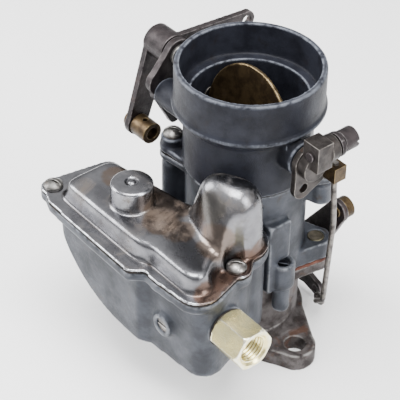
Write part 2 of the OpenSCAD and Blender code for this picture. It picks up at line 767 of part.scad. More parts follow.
module throttle_shaft() {
    color([0.55, 0.54, 0.53])
    difference() {
        rod_y(0, -lever_y - 3.2, lever_y + 3.2, throttle_z, throttle_shaft_r);
        translate([0, 0, throttle_z]) rotate([0, throttle_closed_a, 0])
            translate([-6, -bore_d / 2, 0]) cube([12, bore_d, 6]);
    }
}

module throttle_valve() {
    color([0.74, 0.60, 0.34])
    translate([0, 0, throttle_z]) rotate([0, throttle_closed_a, 0])
        cylinder(r = bore_d / 2 - 0.25, h = valve_t);
}

module throttle_valve_screws() {
    color([0.55, 0.50, 0.40])
    translate([0, 0, throttle_z]) rotate([0, throttle_closed_a, 0])
        for (s = [-1, 1]) translate([0, s * 8, valve_t]) cylinder(r = 2.4, h = 1.2);
}

module throttle_lever() {
    far = throttle_tip;
    idle = [13.5, 6.5];
    color([0.24, 0.18, 0.17])
    difference() {
        union() {
            plane_y(lever_y + lever_t) {
                arm([0, throttle_z], 9, far, 5.2, lever_t);
                arm([0, throttle_z], 8, [4, 9.5], 5, lever_t);
                arm([4, 9.5], 4, idle, 3.6, lever_t);
                arm([0, throttle_z], 7.6, [-14, throttle_z + 3], 3.4, lever_t);
            }
            translate([-17.4, lever_y - 6, throttle_z - 0.4]) cube([6.8, 6 + lever_t, 2.4]);
        }
        rod_y(0, lever_y - 1, lever_y + 9, throttle_z, throttle_shaft_r);
        rod_y(far.x, lever_y - 1, lever_y + 9, far.y, 2.6);
        rod_y(idle.x, lever_y - 1, lever_y + 9, idle.y, 1.5);
        rod_z([-14, stop_y], 0, throttle_z + 9, 1.6);
    }
}

module throttle_swivel() {
    far = throttle_tip;
    color([0.66, 0.50, 0.34])
    difference() {
        union() {
            rod_y(far.x, lever_y - 0.4, lever_y + 7, far.y, 2.5);
            rod_y(far.x, lever_y + lever_t + 0.1, lever_y + 6.4, far.y, 4.6);
        }
        rod_y(far.x, lever_y + lever_t, lever_y + 8, far.y, 2);
    }
}

module stop_screw() {
    color([0.60, 0.58, 0.55])
    translate([-14, stop_y, throttle_z + 4]) round_screw(1.55, 3.2, 2.6, 10.5);
}

module pump_lever() {
    color([0.36, 0.33, 0.31])
    difference() {
        plane_y(pump_lever_y) arm([0, throttle_z], 7, [connector_p.x, throttle_z - 4], 2.6, 2);
        rod_y(0, -lever_y - 9, -lever_y + 1, throttle_z, throttle_shaft_r);
    }
}

module choke_shaft() {
    color([0.50, 0.49, 0.48])
    difference() {
        rod_x(-26.5, lever_x + 4, 0, choke_z, choke_shaft_r);
        translate([0, 0, choke_z]) rotate([choke_open_a, 0, 0])
            translate([-choke_bore_r, -6, 0]) cube([2 * choke_bore_r, 12, 6]);
    }
}

module choke_valve() {
    color([0.55, 0.47, 0.27])
    translate([0, 0, choke_z]) rotate([choke_open_a, 0, 0])
        cylinder(r = choke_bore_r - 0.35, h = valve_t);
}

module choke_valve_screws() {
    color([0.55, 0.50, 0.38])
    translate([0, 0, choke_z]) rotate([choke_open_a, 0, 0])
        for (s = [-1, 1]) translate([s * 9, 0, valve_t]) cylinder(r = 2.2, h = 1.1);
}

module choke_lever() {
    tip = [-1.6, choke_z - 11.5];
    color([0.48, 0.45, 0.43])
    difference() {
        union() {
            plane_x(lever_x) {
                trio([[0, choke_z], tip, swivel_p], [6.5, 4.8, 4.6], lever_t);
            }
        }
        rod_x(lever_x - 3, lever_x + 6, 0, choke_z, choke_shaft_r);
        rod_x(lever_x - 3, lever_x + 6, tip.x, tip.y, 2);
        rod_x(lever_x - 3, lever_x + 6, swivel_p.x, swivel_p.y, 2);
    }
}

module choke_block() {
    color([0.42, 0.37, 0.33])
    difference() {
        union() {
            translate([block_x - 0.4, -3.5, clamp_z - 6]) cube([8.6, 7.5, 11.5]);
            rod_x(lever_x + lever_t, block_x + 4, 0, choke_z, 6);
            rod_y(block_x + 4, 3.5, 7.5, clamp_z, 5.2);
        }
        rod_x(lever_x, lever_x + 4, 0, choke_z, choke_shaft_r);
        rod_y(block_x + 4, -9, 20, clamp_z, 1.9);
    }
}

module choke_clamp_screw() {
    color([0.47, 0.34, 0.28])
    difference() {
        union() {
            rod_y(block_x + 4, -4.4, 16, clamp_z, 1.9);
            rod_y(block_x + 4, 8.3, 10.3, clamp_z, 5);
            rod_y(block_x + 4, 11, 17.5, clamp_z, 4.4);
        }
        translate([block_x - 2, 16.3, clamp_z - 0.6]) cube([12, 3, 1.2]);
    }
}

module link_swivel() {
    color([0.62, 0.52, 0.28])
    difference() {
        union() {
            rod_x(lever_x - 0.6, lever_x + 3.4, swivel_p.x, swivel_p.y, 1.94);
            translate([lever_x + 3.2, swivel_p.x - 3, swivel_p.y - 3.4]) cube([6.4, 6, 6.8]);
        }
        rod_z([link_top.x, swivel_p.x], swivel_p.y - 9, swivel_p.y + 9, link_r);
    }
}

module link_rod() {
    pts = [link_top + [0, 0, 4.4], link_top - [0, 0, 6], [36, 14.6, 66], [28.5, 20, 16], link_foot];
    color([0.52, 0.51, 0.50]) {
        for (i = [0:3]) bar(pts[i], pts[i + 1], link_r);
        for (i = [1:4]) translate(pts[i]) sphere(r = link_r * 1.04);
        bar(link_foot, [link_foot.x, 27.4, link_foot.z], link_r);
    }
}

module link_clip() {
    color([0.62, 0.62, 0.62])
    difference() {
        rod_y(link_foot.x, 24.6, 25.6, link_foot.z, 3);
        rod_y(link_foot.x, 24, 27, link_foot.z, link_r);
    }
}

module crank_bracket() {
    tail = [-10, choke_z - 13];
    mid = [-17, choke_z + 7];
    color([0.26, 0.21, 0.21])
    difference() {
        plane_x(bracket_x) {
            arm([crank_p.y, crank_p.z], 6.3, mid, 5.6, bracket_t);
            arm(mid, 5.2, boss_left_p, 5.6, bracket_t);
            arm(boss_left_p, 5.3, tail, 2.6, bracket_t);
        }
        rod_x(-60, -20, boss_left_p.x, boss_left_p.y, 2);
        rod_x(-60, -20, crank_p.y, crank_p.z, 2.9);
    }
}

module bracket_screw() {
    color([0.50, 0.48, 0.46])
    translate([bracket_x, boss_left_p.x, boss_left_p.y]) rotate([0, -90, 0])
        round_screw(1.88, 3.8, 2.6, 9);
}

module crank_stud() {
    color([0.62, 0.61, 0.60]) {
        rod_x(-48.5, bracket_x + bracket_t, crank_p.y, crank_p.z, 2.85);
        rod_x(bracket_x + bracket_t, bracket_x + bracket_t + 1.6, crank_p.y, crank_p.z, 4.6);
        rod_x(-49.6, -48.3, crank_p.y, crank_p.z, 4.4);
    }
}

module bellcrank() {
    hub = [crank_p.y, crank_p.z];
    back = hub + [crank_back_len, -1];
    color([0.27, 0.21, 0.22])
    difference() {
        union() {
            rod_x(crank_arm_x, bracket_x - 0.4, hub.x, hub.y, 6.6);
            plane_x(crank_arm_x) {
                arm(hub, 6.2, crank_tip, 5.2, 2.8);
            }
            plane_x(bracket_x - 0.4 - 2.8) arm(hub, 6.3, back, 4, 2.8);
        }
        rod_x(-60, -20, hub.x, hub.y, 2.85 + run_gap);
        rod_x(-60, -20, crank_tip.x, crank_tip.y, 3 + run_gap);
        rod_x(-60, -20, back.x, back.y, 2.2);
    }
}

module crank_swivel() {
    color([0.66, 0.52, 0.28])
    difference() {
        union() {
            rod_x(crank_arm_x - 1, crank_arm_x + 4, crank_tip.x, crank_tip.y, 3);
            rod_x(crank_arm_x + 3.1, crank_arm_x + 12, crank_tip.x, crank_tip.y, 4.6);
            rod_x(crank_arm_x - 2.2, crank_arm_x - 0.4, crank_tip.x, crank_tip.y, 3.9);
        }
        rod_x(crank_arm_x + 3, crank_arm_x + 13, crank_tip.x, crank_tip.y, 2.6);
        rod_z([crank_arm_x + 7.5, crank_tip.x], crank_tip.y, crank_tip.y + 6, 1.1);
    }
}

throttle_body();
body_gasket();
body_casting();
horn_gasket();
air_horn();
body_screws();
horn_screws();
bowl_cover();
cover_gasket();
cover_screws();
cover_cap();
booster_venturi();
main_nozzle();
metering_jet();
idle_tube();
bowl_plug();
passage_plug();
inlet_fitting();
inlet_gasket();
needle_seat();
inlet_needle();
float();
float_lever();
float_pin();
pump_plunger();
pump_rocker();
rocker_pin();
connector_rod();
metering_rod();
discharge_ball();
idle_needle();
idle_spring();
throttle_shaft();
throttle_valve();
throttle_valve_screws();
throttle_lever();
throttle_swivel();
stop_screw();
pump_lever();
choke_shaft();
choke_valve();
choke_valve_screws();
choke_lever();
choke_block();
choke_clamp_screw();
link_swivel();
link_rod();
link_clip();
crank_bracket();
bracket_screw();
crank_stud();
bellcrank();
crank_swivel();
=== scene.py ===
# %% [markdown]
# # A downdraft carburetor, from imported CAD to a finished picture
# The CAD model fixes every size and every joint. This script only gives it its looks: soft cast edges,
# a stamped cover, a thread, coil springs and worn metal finishes. Lengths on the carburetor are written in
# millimetres, and `MM` turns them into Blender's metres. The floor and the lamps' sizes are in metres.

# %% Frame, units and small helpers
import json
import math

import bmesh
import bpy
import numpy as np
from mathutils import Matrix, Vector

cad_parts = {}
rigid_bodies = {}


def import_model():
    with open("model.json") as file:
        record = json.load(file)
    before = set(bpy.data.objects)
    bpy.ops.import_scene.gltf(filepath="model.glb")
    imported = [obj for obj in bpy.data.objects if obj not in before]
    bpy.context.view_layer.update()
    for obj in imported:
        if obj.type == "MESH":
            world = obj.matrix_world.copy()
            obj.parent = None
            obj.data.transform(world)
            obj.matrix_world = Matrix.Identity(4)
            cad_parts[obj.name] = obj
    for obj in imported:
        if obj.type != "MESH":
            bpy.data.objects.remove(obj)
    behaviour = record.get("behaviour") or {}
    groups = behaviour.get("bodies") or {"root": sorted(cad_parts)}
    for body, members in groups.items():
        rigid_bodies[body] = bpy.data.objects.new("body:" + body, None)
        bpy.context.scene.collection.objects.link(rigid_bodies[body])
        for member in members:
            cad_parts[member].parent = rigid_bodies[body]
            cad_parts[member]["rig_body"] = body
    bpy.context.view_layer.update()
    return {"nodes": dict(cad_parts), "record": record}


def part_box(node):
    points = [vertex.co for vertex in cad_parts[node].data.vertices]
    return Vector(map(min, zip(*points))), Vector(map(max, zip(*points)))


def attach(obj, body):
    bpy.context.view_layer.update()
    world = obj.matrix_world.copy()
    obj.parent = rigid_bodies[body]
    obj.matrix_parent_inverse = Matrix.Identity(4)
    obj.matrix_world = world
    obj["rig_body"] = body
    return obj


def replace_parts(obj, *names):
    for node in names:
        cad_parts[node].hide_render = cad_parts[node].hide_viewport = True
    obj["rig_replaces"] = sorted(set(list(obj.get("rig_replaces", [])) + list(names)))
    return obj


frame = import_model()
MM = 0.001
scene = bpy.context.scene


def span(node):
    """Lowest and highest corner of a CAD node, in millimetres."""
    low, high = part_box(node)
    return low / MM, high / MM


def node_body(node):
    return frame["nodes"][node]["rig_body"]


# %% [markdown]
# ## Finishes
# A worn metal is never one colour. Each finish here is built from the same few layers, as a painter
# would work: a mottled ground, a stain that gathers in patches, a darker colour in the hollows and a lighter
# one on the edges, which is partly bare worn metal and partly a painted highlight, with a fine grain as
# bump.
# Blender could also use image textures, but noise nodes stay sharp at any distance and need no unwrapping.
# `Pointiness` from the Geometry node finds edges and hollows, because it measures how sharply the surface
# bends, and it stays with the surface when the camera moves.

# %% Small node helpers
def add_node(tree, kind, inputs=(), **settings):
    """Adds one node, sets its options, fills or links its inputs and returns it."""
    made = tree.nodes.new(kind)
    for key, value in settings.items():
        setattr(made, key, value)
    for key, value in dict(inputs).items():
        if isinstance(value, bpy.types.NodeSocket):
            tree.links.new(value, made.inputs[key])
        else:
            made.inputs[key].default_value = value
    return made


def ramp(tree, factor, low, high):
    """0 below low and 1 above high, with a soft step between."""
    made = add_node(tree, "ShaderNodeMapRange", {"Value": factor, "From Min": low, "From Max": high},
                  interpolation_type="SMOOTHSTEP")
    return made.outputs["Result"]


def times(tree, a, b):
    """The product of two values, each a number or a socket."""
    return add_node(tree, "ShaderNodeMath", {0: a, 1: b}, operation="MULTIPLY").outputs[0]


def blend_colour(tree, factor, a, b):
    """Colour a where factor is 0 and colour b where it is 1."""
    made = tree.nodes.new("ShaderNodeMix")
    made.data_type = "RGBA"
    for index, value in ((0, factor), (6, a), (7, b)):
        if isinstance(value, bpy.types.NodeSocket):
            tree.links.new(value, made.inputs[index])
        elif index == 0:
            made.inputs[0].default_value = value
        else:
            made.inputs[index].default_value = (*value, 1)
    return made.outputs[2]


def patches(tree, point, size, detail=5.0, rough=0.6, twist=0.0):
    """Noise whose patches are about size millimetres wide."""
    made = add_node(tree, "ShaderNodeTexNoise", {"Vector": point, "Scale": 1 / size, "Detail": detail,
                                               "Roughness": rough, "Distortion": twist})
    return made.outputs["Fac"]


def in_millimetres(tree, place):
    """A place in millimetres, so that each noise size below reads as a real size."""
    made = add_node(tree, "ShaderNodeVectorMath", {0: place, 1: (1 / MM,) * 3}, operation="MULTIPLY")
    return made.outputs[0]


# %% [markdown]
# ### One recipe for every worn metal
# All the finishes share one recipe, and each metal is a list of its colours and sizes. A separate node tree
# for each would allow more, but the metals would then drift apart in scale and be harder to match.

# %% A worn metal made of layers
STAIN_DULLS = 0.35  # share of its metallic shine that a stained place keeps


def finish(name, dark, light, metal=0.8, rough=(0.35, 0.6), patch=9, grain=0.7, depth=0.12,
           stain=None, stain_at=(0.55, 0.7), stain_patch=12, edge_wear_and_highlight=None, edge_wear_and_highlight_at=(0.51, 0.56), hollow_colour=None,
           hollow_colour_at=(0.49, 0.44), sheen=0.5):
    """A worn metal: mottled ground, stain, darker hollows, worn edges with a painted highlight, fine grain.
    """
    made = bpy.data.materials.new(name)
    made.use_nodes = True
    tree = made.node_tree
    shader = tree.nodes["Principled BSDF"]
    place = add_node(tree, "ShaderNodeTexCoord").outputs["Object"]
    point = in_millimetres(tree, place)
    bend = add_node(tree, "ShaderNodeNewGeometry").outputs["Pointiness"]
    ground = patches(tree, point, patch)
    colour = blend_colour(tree, ramp(tree, ground, 0.35, 0.65), dark, light)
    smoother = add_node(tree, "ShaderNodeMapRange", {
        "Value": ground, "From Min": 0.3, "From Max": 0.7, "To Min": rough[1], "To Max": rough[0]})
    roughness = smoother.outputs["Result"]
    shine = metal
    if stain:
        where = ramp(tree, patches(tree, point, stain_patch, 8, 0.65, 0.6), *stain_at)
        colour = blend_colour(tree, where, colour, stain)
        duller = add_node(tree, "ShaderNodeMapRange", {
            "Value": where, "To Min": metal, "To Max": metal * STAIN_DULLS})
        shine = duller.outputs[0]
    # Darker colour where the surface is hollow, in the creases.
    if hollow_colour:
        colour = blend_colour(tree, ramp(tree, bend, *hollow_colour_at), colour, hollow_colour)
    # Lighter colour on the sharpest edges, broken by noise: partly worn bare metal, partly a painted
    # highlight.
    if edge_wear_and_highlight:
        worn = times(tree, ramp(tree, bend, *edge_wear_and_highlight_at), ramp(tree, patches(tree, point, 3), 0.3, 0.6))
        colour = blend_colour(tree, worn, colour, edge_wear_and_highlight)
    coarse = patches(tree, point, grain * 4, 3)
    fine = patches(tree, point, grain, 4, 0.7)
    height = add_node(tree, "ShaderNodeMath", {0: coarse, 1: fine}, operation="ADD").outputs[0]
    bump = add_node(tree, "ShaderNodeBump", {"Height": height, "Strength": 1.0, "Distance": depth * MM})
    tree.links.new(colour, shader.inputs["Base Color"])
    tree.links.new(roughness, shader.inputs["Roughness"])
    if isinstance(shine, bpy.types.NodeSocket):
        tree.links.new(shine, shader.inputs["Metallic"])
    else:
        shader.inputs["Metallic"].default_value = shine
    shader.inputs["Specular IOR Level"].default_value = sheen
    tree.links.new(bump.outputs["Normal"], shader.inputs["Normal"])
    return made


# %% The finishes of this carburetor
FINISH = {
    # The air horn's edge colour is bright and its edge band wide: a painted highlight on its rims and bead,
    # besides the wear.
    "horn_zinc": finish(
        "dark cast zinc", dark=(0.008, 0.0085, 0.012), light=(0.019, 0.0205, 0.028), metal=0.12,
        rough=(0.36, 0.52), patch=14, grain=0.5, depth=0.10, edge_wear_and_highlight=(0.13, 0.14, 0.165),
        edge_wear_and_highlight_at=(0.507, 0.545), hollow_colour=(0.004, 0.004, 0.006), stain=(0.012, 0.011, 0.013), sheen=0.12),
    "body_zinc": finish(
        "pale cast zinc", dark=(0.020, 0.0225, 0.029), light=(0.046, 0.051, 0.064), metal=0.3,
        rough=(0.36, 0.55), patch=12, grain=0.5, depth=0.12, edge_wear_and_highlight=(0.18, 0.19, 0.21),
        hollow_colour=(0.006, 0.006, 0.007), stain=(0.026, 0.023, 0.022), stain_at=(0.57, 0.70), sheen=0.3),
    "iron": finish(
        "rusty cast iron", dark=(0.030, 0.024, 0.023), light=(0.095, 0.085, 0.084), metal=0.4,
        rough=(0.48, 0.75), patch=6, grain=0.7, depth=0.2, edge_wear_and_highlight=(0.24, 0.23, 0.22),
        hollow_colour=(0.01, 0.007, 0.006), stain=(0.060, 0.030, 0.020), stain_at=(0.52, 0.66), stain_patch=9,
        sheen=0.3),
    "copper_gasket": finish(
        "red fibre gasket", dark=(0.075, 0.030, 0.022), light=(0.16, 0.064, 0.045), metal=0.05,
        rough=(0.6, 0.85), patch=4, grain=0.5, depth=0.15, stain=(0.03, 0.02, 0.018),
        hollow_colour=(0.018, 0.009, 0.007), sheen=0.2),
    "dark_gasket": finish(
        "dark fibre gasket", dark=(0.009, 0.008, 0.0075), light=(0.024, 0.019, 0.016), metal=0.0,
        rough=(0.7, 0.9), patch=4, grain=0.5, depth=0.15, stain=(0.034, 0.018, 0.012), sheen=0.2),
    "screw_steel": finish(
        "worn plated steel", dark=(0.08, 0.078, 0.075), light=(0.20, 0.19, 0.18), metal=0.9,
        rough=(0.24, 0.44), patch=4, grain=0.4, depth=0.05, edge_wear_and_highlight=(0.48, 0.46, 0.44),
        hollow_colour=(0.016, 0.012, 0.01), stain=(0.06, 0.04, 0.03)),
    "brown_steel": finish(
        "brown oxidised steel", dark=(0.013, 0.010, 0.011), light=(0.038, 0.031, 0.032), metal=0.55,
        rough=(0.30, 0.55), patch=6, grain=0.5, depth=0.10, edge_wear_and_highlight=(0.17, 0.155, 0.155),
        hollow_colour=(0.004, 0.003, 0.003), stain=(0.036, 0.020, 0.016), stain_at=(0.56, 0.7), sheen=0.3),
    "grey_steel": finish(
        "grey worn steel", dark=(0.020, 0.017, 0.016), light=(0.055, 0.048, 0.045), metal=0.7,
        rough=(0.30, 0.5), patch=5, grain=0.5, depth=0.07, edge_wear_and_highlight=(0.28, 0.26, 0.24),
        hollow_colour=(0.007, 0.005, 0.005), stain=(0.04, 0.024, 0.018), sheen=0.3),
    "pale_brass": finish(
        "pale bright brass", dark=(0.84, 0.73, 0.34), light=(0.97, 0.88, 0.48), metal=0.9,
        rough=(0.14, 0.30), patch=5, grain=0.5, depth=0.03, edge_wear_and_highlight=(0.98, 0.95, 0.80),
        hollow_colour=(0.14, 0.10, 0.04), stain=(0.52, 0.44, 0.22), stain_at=(0.64, 0.78)),
    "old_brass": finish(
        "aged brass", dark=(0.030, 0.019, 0.010), light=(0.085, 0.057, 0.028), metal=0.8,
        rough=(0.3, 0.5), patch=5, grain=0.5, depth=0.06, edge_wear_and_highlight=(0.28, 0.21, 0.11),
        hollow_colour=(0.01, 0.007, 0.005), stain=(0.025, 0.016, 0.012), sheen=0.3),
    "olive_steel": finish(
        "yellow passivated steel", dark=(0.050, 0.043, 0.032), light=(0.11, 0.095, 0.070), metal=0.7,
        rough=(0.32, 0.5), patch=4, grain=0.4, depth=0.05, edge_wear_and_highlight=(0.20, 0.185, 0.12),
        hollow_colour=(0.01, 0.009, 0.006), stain=(0.03, 0.025, 0.018), sheen=0.3),
    "piston_leather": finish(
        "oiled leather cup", dark=(0.06, 0.035, 0.02), light=(0.14, 0.085, 0.045), metal=0.0,
        rough=(0.45, 0.7), patch=3, grain=0.6, depth=0.12, stain=(0.04, 0.025, 0.015)),
}
print("finishes:", len(FINISH))

# %% [markdown]
# ## Softening the CAD
# A casting or a stamping has no knife edges: the mould and the press leave every corner round. A Bevel
# modifier would do this on a clean box model, but CAD meshes have long thin triangles that bevels tear.
# A voxel Remesh rebuilds the solid from small even quads, and a few passes of Smooth then melt the corners
# by about a voxel or two. The voxel is the one choice to make: small for a screw, larger for a casting.

# %% Soft copies of CAD solids
def put(name, mesh):
    made = bpy.data.objects.new(name, mesh)
    scene.collection.objects.link(made)
    return made


def baked(made):
    """Applies the object's modifiers and keeps the result as its mesh."""
    settled = bpy.data.meshes.new_from_object(made.evaluated_get(bpy.context.evaluated_depsgraph_get()))
    made.modifiers.clear()
    made.data = settled
    return made


def melt(made, voxel, rounds):
    """Even quads of voxel millimetres, with their corners smoothed."""
    grid = made.modifiers.new("even quads", "REMESH")
    grid.mode = "VOXEL"
    grid.voxel_size = voxel * MM
    if rounds:
        soft = made.modifiers.new("soft corners", "SMOOTH")
        soft.factor = 0.5
        soft.iterations = rounds
    return baked(made)


def dress(made, body, slot, *nodes, coat=None):
    """Gives a piece the finish its slot names (or the coat given), its body and the CAD nodes it stands for.
    """
    made.data.materials.clear()
    made.data.materials.append(coat or FINISH[slot])
    made.data.shade_smooth()
    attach(made, body)
    if nodes:
        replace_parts(made, *nodes)
    return made


SLOT = {row["node"]: row["material_slot"] for row in frame["record"]["subparts"]}


def soften(node, voxel, rounds):
    """A soft copy of a CAD node, which then stands for it."""
    made = put("soft_" + node, frame["nodes"][node].data.copy())
    melt(made, voxel, rounds)
    return dress(made, node_body(node), SLOT[node], node)


# %% [markdown]
# ## The three castings
# The air horn and the bowl body are die-cast zinc, and the throttle body is cast iron. They carry every
# fine detail already in CAD, so they only need softening. A smaller voxel keeps more of that detail and
# costs more triangles, so the big bowl body takes a coarser one than the other two.

# %% Castings
air_horn = soften("air_horn", 0.55, 5)
body_casting = soften("body_casting", 0.72, 4)
throttle_body = soften("throttle_body", 0.55, 4)
for casting in (air_horn, body_casting, throttle_body):
    print(casting.name, len(casting.data.polygons), "faces")

# %% [markdown]
# ## The stamped bowl cover
# The cover is one steel sheet, pressed into a flat rim, a raised plateau and a tall dome over the pump
# linkage. Press tools leave generous radii, and those radii carry the bright highlight lines. Here each
# form is first a plain closed solid. A voxel remesh joins them, smoothing rolls the radii, and last the
# underside is taken away and the rest is given a sheet's thickness. Loops of subdivision modelled by hand
# could make the same blends, with far more work wherever two forms meet.

# %% Outlines in plan
def arc(centre, radius, start, end, steps=10):
    """Points along an arc, in millimetres and degrees."""
    turns = [math.radians(start + (end - start) * i / steps) for i in range(steps + 1)]
    return [(centre[0] + radius * math.cos(a), centre[1] + radius * math.sin(a)) for a in turns]


RIM_LOW = span("cover_gasket")[1].z
RIM_HIGH = RIM_LOW + 1.0
PLATEAU = span("cover_cap")[0].z + 2.2
DOME_TOP = span("bowl_cover")[1].z
LEFT_SCREW = (-49.4, -59.5)
LOBE_SCREW = (34.3, -34.0)
CAP = (-14.0, -46.5)
RIM_OUTLINE = [
    *arc((-45, -35.5), 5, 90, 180), *arc(LEFT_SCREW, 5.2, 150, 285), (-42, -66.9),
    *arc((8, -64), 3.5, 270, 330, 5), (14, -62.3), (20, -62.8), *arc((34, -52.3), 9.2, 270, 385),
    *arc(LOBE_SCREW, 6, -35, 30, 5), *arc((22, -24), 13, -8, 95), (8, -20), (-4, -30.5)]
PLATEAU_OUTLINE = [
    *arc((-38.5, -39.5), 5, 90, 180), *arc((-38.5, -56), 5, 180, 270), (4, -61), (9, -60.2), (13, -58.0),
    *arc((32.6, -51.8), 6, 278, 372), (34.0, -44), (29, -34), (12, -22), (0, -28)]
print("rim", RIM_LOW, RIM_HIGH, "plateau", PLATEAU, "dome", DOME_TOP)


# %% Closed solids from outlines and from points
def slab(points, low, high, inset=0.0):
    """A prism of an outline between two heights, narrower at the top by inset."""
    grown = bmesh.new()
    middle = sum((Vector(p) for p in points), Vector((0, 0))) / len(points)
    rings = []
    for z, shrink in ((low, 0.0), (high, inset)):
        ring = []
        for p in points:
            away = Vector(p) - middle
            ring.append(grown.verts.new((*(Vector(p) - away.normalized() * shrink), z)))
        rings.append(ring)
    grown.faces.new(rings[0][::-1])
    grown.faces.new(rings[1])
    for i in range(len(points)):
        j = (i + 1) % len(points)
        grown.faces.new((rings[0][i], rings[0][j], rings[1][j], rings[1][i]))
    return grown


def hull_of(balls):
    """The tight skin round some balls, each (x, y, z, radius)."""
    grown = bmesh.new()
    for x, y, z, radius in balls:
        for tilt in range(-75, 91, 15):
            for turn in range(0, 360, 12):
                t, a = math.radians(tilt), math.radians(turn)
                grown.verts.new((x + radius * math.cos(t) * math.cos(a),
                                 y + radius * math.cos(t) * math.sin(a),
                                 z + radius * math.sin(t)))
    skin = bmesh.ops.convex_hull(grown, input=grown.verts)
    inner = [v for v in skin["geom_interior"] if isinstance(v, bmesh.types.BMVert)]
    bmesh.ops.delete(grown, geom=inner, context="VERTS")
    return grown


def solid_from(name, *parts):
    """One object from several closed shapes, which may overlap. Millimetres become metres."""
    whole = bmesh.new()
    for part in parts:
        bmesh.ops.triangulate(part, faces=part.faces)
        bmesh.ops.recalc_face_normals(part, faces=part.faces)
        loose = bpy.data.meshes.new("part")
        part.to_mesh(loose)
        part.free()
        whole.from_mesh(loose)
    whole.transform(Matrix.Scale(MM, 4))
    mesh = bpy.data.meshes.new(name)
    whole.to_mesh(mesh)
    whole.free()
    return put(name, mesh)


def post(centre, radius, low, high, steps=64):
    """A round post between two heights."""
    return slab(arc(centre, radius, 0, 360 - 360 / steps, steps - 1), low, high)


def cut(made, cutter):
    """Takes one closed solid out of another."""
    tool = made.modifiers.new("cut", "BOOLEAN")
    tool.operation = "DIFFERENCE"
    tool.object = cutter
    tool.solver = "EXACT"
    baked(made)
    bpy.data.objects.remove(cutter)
    return made


# %% The cover's forms, joined and rolled
DOME = hull_of([
    (22.6, -24.8, 82, 10.4), (22.5, -24.8, 71, 10.9), (22.8, -24.7, DOME_TOP - 11.2, 10.0),
    (15.6, -27.4, DOME_TOP - 9.0, 7.9), (9.6, -28.6, 78, 5.6), (8.6, -29, 70, 7.0),
    (26.0, -34.4, 77, 5.6), (26.8, -35.6, 69, 6.9)])
cover = solid_from("bowl_cover_stamping", slab(RIM_OUTLINE, RIM_LOW, RIM_HIGH),
                   slab(PLATEAU_OUTLINE, RIM_LOW, PLATEAU, 2.4), DOME)
melt(cover, 0.5, 0)
cut(cover, solid_from("neck room", post((0, 0), 25.9, RIM_LOW - 5, DOME_TOP + 5)))
for centre in (LEFT_SCREW, LOBE_SCREW):
    cut(cover, solid_from("screw seat", post(centre, 4.9, RIM_HIGH, DOME_TOP)))
print("cover solid:", len(cover.data.polygons), "faces")


# %% Rolled radii above the rim
def smooth_above(made, voxel, height, rounds):
    """Remeshes, then smooths only what stands above a height, in millimetres."""
    melt(made, voxel, 7)
    group = made.vertex_groups.new(name="raised")
    for v in made.data.vertices:
        rise = (v.co.z / MM - height) / 1.2
        if rise > 0:
            group.add([v.index], min(1.0, rise), "ADD")
    soft = made.modifiers.new("rolled radii", "SMOOTH")
    soft.factor = 0.6
    soft.iterations = rounds
    soft.vertex_group = "raised"
    return baked(made)


smooth_above(cover, 0.5, RIM_HIGH + 0.1, 120)
shell = bmesh.new()
shell.from_mesh(cover.data)
under = [f for f in shell.faces if f.normal.z < -0.7 and f.calc_center_median().z < (RIM_LOW + 0.3) * MM]
bmesh.ops.delete(shell, geom=under, context="FACES")
shell.to_mesh(cover.data)
shell.free()
sheet = cover.modifiers.new("sheet", "SOLIDIFY")
sheet.thickness = 0.7 * MM
sheet.offset = -1
baked(cover)
print("cover sheet:", len(cover.data.polygons), "faces")

# %% Tarnish that follows the press marks
def cover_finish():
    """Bright steel whose tarnish lies round the cap, on the dome's front and along the rusty near rim."""
    made = finish(
        "tarnished stamped steel", dark=(0.115, 0.115, 0.124), light=(0.20, 0.20, 0.213), metal=1.0,
        rough=(0.19, 0.31), patch=12, grain=0.8, depth=0.03, stain=(0.098, 0.080, 0.066),
        stain_at=(0.50, 0.72), stain_patch=18, edge_wear_and_highlight=(0.60, 0.62, 0.66), edge_wear_and_highlight_at=(0.504, 0.55),
        hollow_colour=(0.036, 0.030, 0.027), hollow_colour_at=(0.49, 0.46))
    tree = made.node_tree
    shader = tree.nodes["Principled BSDF"]
    colour = shader.inputs["Base Color"].links[0].from_socket
    place = next(n for n in tree.nodes if n.type == "TEX_COORD").outputs["Object"]
    point = in_millimetres(tree, place)
    cloud = patches(tree, point, 7, 8, 0.65, 0.8)

    def near(x, y, z, radius, hue, weight):
        """Lays a soft-edged patch of a colour round a point, broken up by noise."""
        nonlocal colour
        away = add_node(tree, "ShaderNodeVectorMath", {0: point, 1: (x, y, z)}, operation="DISTANCE")
        close = ramp(tree, away.outputs["Value"], radius, radius * 0.45)
        broken = times(tree, times(tree, close, 1.7), cloud)
        colour = blend_colour(tree, times(tree, ramp(tree, broken, 0.25, 0.75), weight), colour, hue)

    brown, rust, olive = (0.150, 0.112, 0.088), (0.100, 0.063, 0.048), (0.110, 0.098, 0.080)
    for x, y, radius in ((-18, -37, 14), (-3, -38, 14), (-30, -42, 9), (3, -46, 10), (12, -44, 9)):
        near(x, y, 76, radius, brown, 0.8)
    near(27, -38, 78, 11, brown, 0.8)
    near(20, -33, 88, 10, olive, 0.6)
    near(10, -25, 98, 8, olive, 0.5)
    for x, y in ((36, -30), (38, -42), (41, -52), (31, -22)):
        near(x, y, 68, 9, rust, 0.9)
    tree.links.new(colour, shader.inputs["Base Color"])
    return made


COVER_FINISH = cover_finish()
dress(cover, "casting", "cover_steel", "bowl_cover", coat=COVER_FINISH)
print("tarnish nodes:", len(COVER_FINISH.node_tree.nodes))

# %% [markdown]
# ## The turned cap
# The cap on the cover is round about an upright axis, so it is drawn as a half profile and turned.
# `bmesh.ops.spin` would do it in one call. The rings are written out here, because the thread of the fuel
# inlet needs the same rings with a radius that changes on the way round.

# %% A lathe
def eased_corner(before, here, after, radius, steps):
    """Points of a short curve that rounds the corner at here."""
    r = min(radius, (before - here).length * 0.45, (after - here).length * 0.45)
    a = here + (before - here).normalized() * r
    b = here + (after - here).normalized() * r
    shares = [i / steps for i in range(steps + 1)]
    return [a * (1 - t) ** 2 + here * 2 * t * (1 - t) + b * t * t for t in shares]


